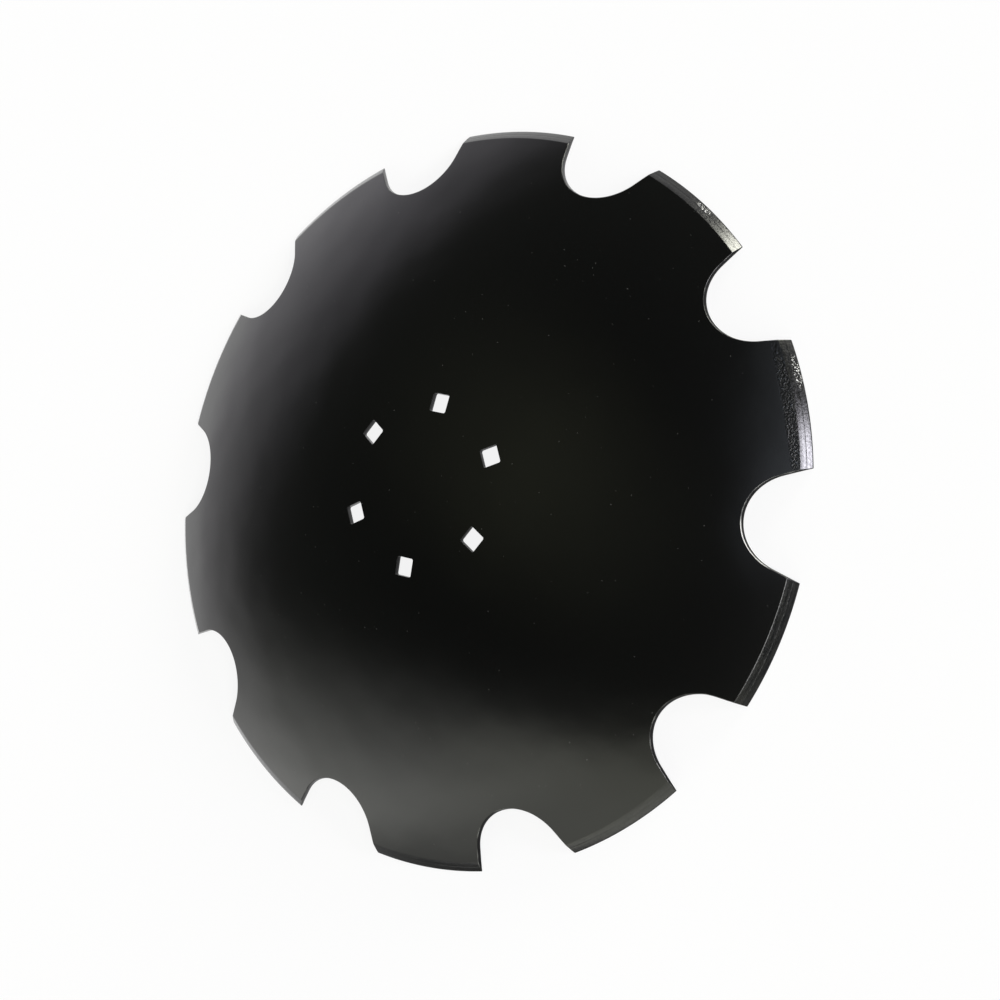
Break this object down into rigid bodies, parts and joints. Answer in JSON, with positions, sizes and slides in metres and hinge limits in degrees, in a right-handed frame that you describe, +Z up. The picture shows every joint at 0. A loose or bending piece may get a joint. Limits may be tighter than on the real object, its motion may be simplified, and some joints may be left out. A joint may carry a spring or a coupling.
{
  "type": "harrow disc blade",
  "caption": "Shallow dished steel disc with a scalloped, bevelled rim and square bolt holes round its middle, for cutting and turning soil.",
  "frame": {"origin": "centre of the circle of the cutting edges, on the plane the blade lies on", "axes": "+Z up through the pole of the dome, +X through one notch and one bolt hole"},
  "size_m": [0.6036, 0.61, 0.0839],
  "materials": {
    "black_paint": "gloss black paint on pressed steel, thin on the ground bevel"
  },
  "bodies": {
    "root": {"disc_blade": "black_paint"}
  },
  "joints": []
}
